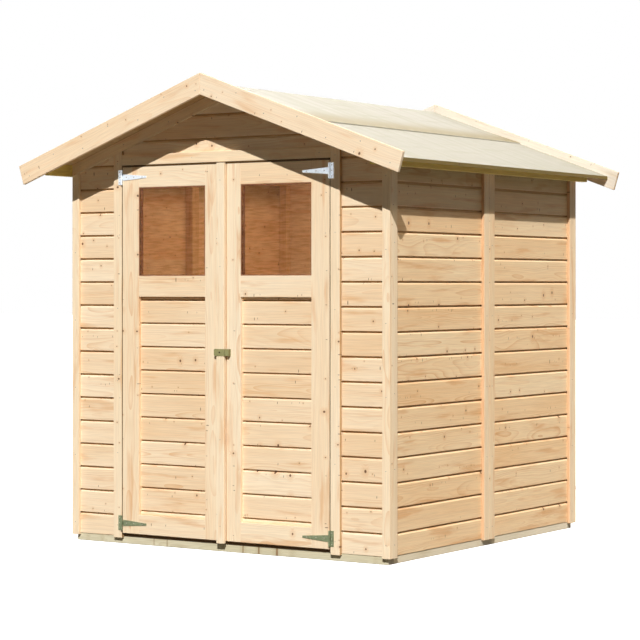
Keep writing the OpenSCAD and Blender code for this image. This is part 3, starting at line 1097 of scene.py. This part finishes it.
def roof_skin(name, band):
    """The roof sheets' finish: pale, with streaks down the slope and a dull band at the lap."""
    material = softwood(
        name,
        pale=paint(186, 183, 173),
        warm=paint(176, 172, 159),
        late_wood=paint(160, 158, 132),
        knot=paint(170, 158, 118),
        figure=0.25,
        knots=0.05,
    )
    tree, colour, taker = wood_colour(material)
    where = shed_place(tree)
    streak = fade(tree, cloud(tree, stretch(tree, where, (1.6, 18.0, 1.6)), detail=3.0), 0.4, 0.7)
    colour = stain(tree, work(tree, "MULTIPLY", streak, 0.55), colour, paint(162, 160, 138))
    if band:
        run = work(tree, "ABSOLUTE", split_place(tree, where)["X"])
        uneven = work(tree, "MULTIPLY_ADD", cloud(tree, where, 2.5), 0.1, run)
        dull = fade(tree, uneven, dull_from, dull_to)
        colour = stain(tree, dull, colour, paint(152, 140, 108))
    tree.links.new(colour, taker)
    return material


sheet_back = softwood(
    "roof_sheet_back",
    pale=paint(214, 186, 142),
    warm=paint(196, 160, 112),
    late_wood=paint(170, 126, 78),
    knot=paint(92, 60, 34),
    figure=0.4,
)
# The lower sheets' eave edges take a dark olive finish: an olive tint darkened as painted shade on
# the edge.
sheet_edge_painted_shade = softwood(
    "roof_sheet_edge",
    pale=paint(122, 104, 48),
    warm=paint(106, 88, 38),
    late_wood=paint(128, 104, 56),
    knot=paint(80, 60, 30),
    figure=0.5,
)
upper_skin = roof_skin("roof_sheet_upper", True)
lower_skin = roof_skin("roof_sheet_lower", False)
# The upper sheets' edges at the lap take the lower sheets' finish, without the dull band: a
# painted lightening of the shade line along the lap.
for part, skin, edge in (("upper", upper_skin, lower_skin), ("lower", lower_skin, sheet_edge_painted_shade)):
    for side in ("left", "right"):
        node = f"{side}_roof_{part}"
        sheet = arrised(sawn(node), sheet_arris)
        for face in sheet.faces:
            face.material_index = 1 if face.normal.z < -0.5 else 0
            if abs(face.normal.z) < 0.6:
                face.material_index = 2
        finishes = (skin, sheet_back, edge)
        timber_piece(f"{node}_sheet", sheet, "shed", "roof_sheet", finishes, node)

# The eave purlins. Sawn, pressure-treated lengths under the roof's outer edges, fixed to the
# tops of the wall trims. They have the dull olive tint of the treatment.
treated_wood = softwood(
    "treated_timber",
    pale=paint(240, 222, 132),
    warm=paint(228, 206, 116),
    late_wood=paint(196, 168, 96),
    knot=paint(90, 68, 34),
    figure=0.4,
)
rails = arrised(sawn("eave_purlins"), frame_arris)
timber_piece("eave_rails", rails, "shed", "treated_timber", treated_wood, "eave_purlins")

# The barge boards. Planed boards 93 x 18 mm nailed along the front and back edges of the
# roof, mitred at the ridge and standing above the sheets, with their nails in two rows.
barge_wood = softwood(
    "barge_board",
    pale=paint(251, 231, 202),
    warm=paint(245, 216, 178),
    late_wood=paint(228, 176, 122),
    knot=paint(92, 58, 34),
    figure=0.45,
    knots=0.5,
)
# The inner faces of the barge boards take a paler, greyer finish: painted light.
barge_back_painted_light = softwood(
    "barge_board_back_painted_light",
    pale=paint(240, 232, 218),
    warm=paint(232, 220, 202),
    late_wood=paint(214, 192, 160),
    knot=paint(120, 88, 60),
    figure=0.4,
)
barge_arris = 0.002
barge_inset = 0.0008
barge_nail_spacing = 0.17
barge_nail_end = 0.05
barge_nail_sway = 0.22
barge_nail_radius = 0.0028
barge_nails = bmesh.new()
for node in ("front_barge_boards", "rear_barge_boards"):
    boards = sawn(node)
    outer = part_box(node)[0].y if node == "front_barge_boards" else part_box(node)[1].y
    outside = [vert for vert in boards.verts if abs(vert.co.y - outer) < hair]
    inwards = (0.0, math.copysign(barge_inset, -outer), 0.0)
    bmesh.ops.translate(boards, vec=inwards, verts=outside)
    nails_along(
        barge_nails, boards, barge_nail_spacing, barge_nail_end, barge_nail_sway, barge_nail_radius
    )
    boards = arrised(boards, barge_arris)
    for face in boards.faces:
        face.material_index = 1 if face.normal.y * outer < -0.5 else 0
    finishes = (barge_wood, barge_back_painted_light)
    timber_piece(f"{node}_planed", boards, "shed", "barge_board", finishes, node)
piece("barge_nails", barge_nails, "shed", "galvanised_iron", nail_metal)

# The ground under the shed, plain and pale. It looks white to the camera wherever the sun
# reaches it, keeps the shed's shadow, and throws back only a little light.
ground_reach = 60.0
ground_drop = 0.0005
ground_mesh = bmesh.new()
bmesh.ops.create_grid(ground_mesh, x_segments=1, y_segments=1, size=ground_reach)
bmesh.ops.translate(ground_mesh, vec=(0.0, 0.0, -ground_drop), verts=ground_mesh.verts[:])
ground_data = bpy.data.meshes.new("ground")
ground_mesh.to_mesh(ground_data)
ground_mesh.free()
ground = bpy.data.objects.new("ground", ground_data)
bpy.context.scene.collection.objects.link(ground)


def seen_rays(tree):
    """One where the camera, a mirror or glass looks, and nought for other light."""
    rays = tree.nodes.new("ShaderNodeLightPath").outputs
    seen = work(tree, "MAXIMUM", rays["Is Camera Ray"], rays["Is Glossy Ray"])
    return work(tree, "MAXIMUM", seen, rays["Is Transmission Ray"])


pale_ground, tree, shader = new_finish("pale_ground")
tree.nodes.remove(shader)
dim = tree.nodes.new("ShaderNodeBsdfDiffuse")
dim.inputs["Color"].default_value = (0.11, 0.1, 0.082, 1.0)
lit = tree.nodes.new("ShaderNodeBsdfDiffuse")
lit.inputs["Color"].default_value = (0.85, 0.85, 0.85, 1.0)
glow = tree.nodes.new("ShaderNodeEmission")
glow.inputs["Strength"].default_value = 0.7
both = tree.nodes.new("ShaderNodeAddShader")
tree.links.new(lit.outputs[0], both.inputs[0])
tree.links.new(glow.outputs[0], both.inputs[1])
by_rays(tree, seen_rays(tree), dim, both, tree.nodes["Material Output"])
ground_data.materials.append(pale_ground)

# The light: a clear sun from the front right, a warm soft lamp from the right, a wide soft
# one from behind for the walls in shade, a warm lamp inside the room, and a faint even sky.
sky = bpy.data.worlds.new("sky")
bpy.context.scene.world = sky
sky.use_nodes = True
tree = sky.node_tree
even = tree.nodes["Background"]
even.inputs["Color"].default_value = (1.0, 0.89, 0.72, 1.0)
even.inputs["Strength"].default_value = 0.05
white = tree.nodes.new("ShaderNodeBackground")
white.inputs["Color"].default_value = (1.0, 1.0, 1.0, 1.0)
by_rays(tree, seen_rays(tree), even, white, tree.nodes["World Output"])


def sun(name, travel, strength, spread, colour):
    """A lamp whose light comes from far off and travels that way."""
    lamp = bpy.data.lights.new(name, "SUN")
    lamp.energy = strength
    lamp.angle = math.radians(spread)
    lamp.color = colour
    holder = bpy.data.objects.new(name, lamp)
    holder.rotation_euler = Vector(travel).to_track_quat("-Z", "Y").to_euler()
    bpy.context.scene.collection.objects.link(holder)


sun("sun", (-0.114, 0.1996, -0.19), 4.3, 0.6, (1.0, 1.0, 1.0))
sun("side_light", (-0.6, 0.0, -1.0), 1.0, 12.0, (1.0, 0.8, 0.54))
sun("back_light", (0.6, -0.72, -0.5), 1.5, 30.0, (1.0, 0.97, 0.92))
room_lamp = bpy.data.lights.new("room_lamp", "AREA")
room_lamp.shape = "RECTANGLE"
room_lamp.size = 0.8
room_lamp.size_y = 1.2
room_lamp.energy = 6.8
room_lamp.color = (1.0, 0.79, 0.55)
room_holder = bpy.data.objects.new("room_lamp", room_lamp)
room_holder.location = (0.0, 0.1, 1.96)
room_holder.visible_camera = False
room_holder.visible_glossy = False
room_holder.visible_transmission = False
bpy.context.scene.collection.objects.link(room_holder)

# The camera, level and to the front right, far enough off for a long lens.
lens = bpy.data.cameras.new("camera")
lens.sensor_width = 36.0
lens.lens = 122.57
lens.shift_y = -0.055
lens.clip_end = 200.0
camera = bpy.data.objects.new("camera", lens)
camera.location = (5.8971, -9.0327, 1.2313)
camera.rotation_euler = (math.radians(90), 0.0, math.radians(33.4026))
bpy.context.scene.collection.objects.link(camera)
bpy.context.scene.camera = camera
bpy.context.scene.view_settings.view_transform = "Standard"
